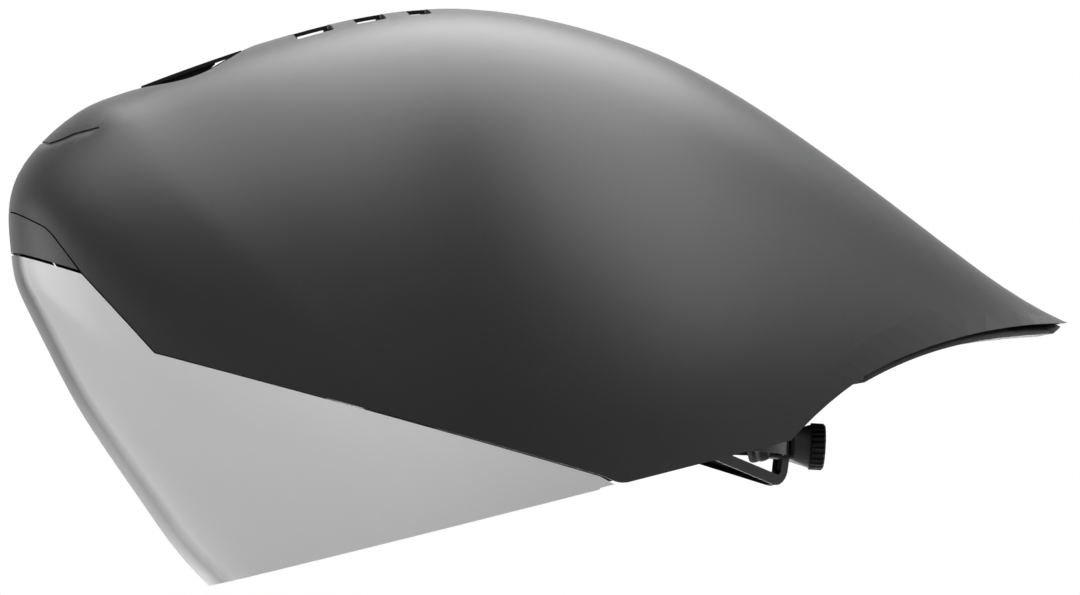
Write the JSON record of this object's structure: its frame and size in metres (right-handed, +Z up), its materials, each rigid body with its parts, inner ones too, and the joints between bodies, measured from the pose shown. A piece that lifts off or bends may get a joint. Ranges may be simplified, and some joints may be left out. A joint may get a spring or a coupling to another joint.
{
  "type": "aero time trial helmet",
  "caption": "Aero helmet with a short tail, crown vents, a magnet-held lens and a dial-fit head cradle.",
  "frame": {"origin": "centre of the head opening, in the plane of the level rim", "axes": "+Z up, -Y to the front, +X to the wearer's left"},
  "size_m": [0.2882, 0.4308, 0.2373],
  "materials": {
    "shell_polycarbonate": "satin",
    "lens_polycarbonate": "clear smoke tint",
    "liner_foam": "expanded bead foam",
    "black_nylon": "moulded",
    "pad_fabric": "brushed",
    "webbing": "woven",
    "magnet_nickel": "plated",
    "steel": "bright"
  },
  "bodies": {
    "shell": {"outer_shell": "shell_polycarbonate", "brow_insert": "shell_polycarbonate", "centre_rib": "black_nylon", "tail_cover": "black_nylon", "foam_liner": "liner_foam", "skirt_lining_left": "liner_foam", "skirt_lining_right": "liner_foam", "visor_docks": "black_nylon", "dock_magnets": "magnet_nickel", "brow_pad": "pad_fabric", "crown_pad": "pad_fabric", "rear_pad": "pad_fabric", "side_pad_left": "pad_fabric", "side_pad_right": "pad_fabric", "temple_brackets": "black_nylon", "strap_anchors": "black_nylon", "strap_left": "webbing", "strap_right": "webbing", "strap_dividers": "black_nylon", "buckle_socket": "black_nylon", "buckle_prong": "black_nylon"},
    "visor": {"visor_lens": "lens_polycarbonate", "visor_tabs": "black_nylon", "visor_magnets": "magnet_nickel"},
    "cradle": {"temple_discs": "black_nylon", "temple_pins": "steel"},
    "arm_left": {"arm_left": "black_nylon"},
    "arm_right": {"arm_right": "black_nylon"},
    "hub": {"hub_housing": "black_nylon", "hub_cover": "black_nylon", "ratchet_spring": "steel", "loop_left": "black_nylon", "loop_right": "black_nylon", "occipital_pads": "pad_fabric", "hanger_strip": "black_nylon"},
    "dial": {"dial_knob": "black_nylon", "pinion": "black_nylon", "dial_screw": "steel"}
  },
  "joints": [
    {"name": "visor_slide", "type": "slide", "parent": "shell", "child": "visor", "axis": [0, 0, -1], "range_m": [0, 0.18]},
    {"name": "cradle_height", "type": "hinge", "parent": "shell", "child": "cradle", "pos_m": [0, -0.04, 0.045], "axis": [1, 0, 0], "range_deg": [-3, 3]},
    {"name": "arm_left_flex", "type": "hinge", "parent": "cradle", "child": "arm_left", "pos_m": [0.076, -0.04, 0.045], "axis": [0, 0.3007, 0.9537], "range_deg": [-2.6, 2.6]},
    {"name": "arm_right_flex", "type": "hinge", "parent": "cradle", "child": "arm_right", "pos_m": [-0.076, -0.04, 0.045], "axis": [0, 0.3007, 0.9537], "range_deg": [-2.6, 2.6]},
    {"name": "hub_slide", "type": "slide", "parent": "cradle", "child": "hub", "axis": [0, 0.9537, -0.3007], "range_m": [-0.0035, 0.0035]},
    {"name": "dial_spin", "type": "hinge", "parent": "hub", "child": "dial", "pos_m": [0, 0.11975, -0.00537], "axis": [0, 0.9537, -0.3007], "range_deg": [-165, 165]}
  ],
  "couplings": [
    {"joint": "arm_left_flex", "follows": "dial_spin", "ratio": -0.015534},
    {"joint": "arm_right_flex", "follows": "dial_spin", "ratio": 0.015534},
    {"joint": "hub_slide", "follows": "dial_spin", "m_per_rad": 0.0011806}
  ]
}
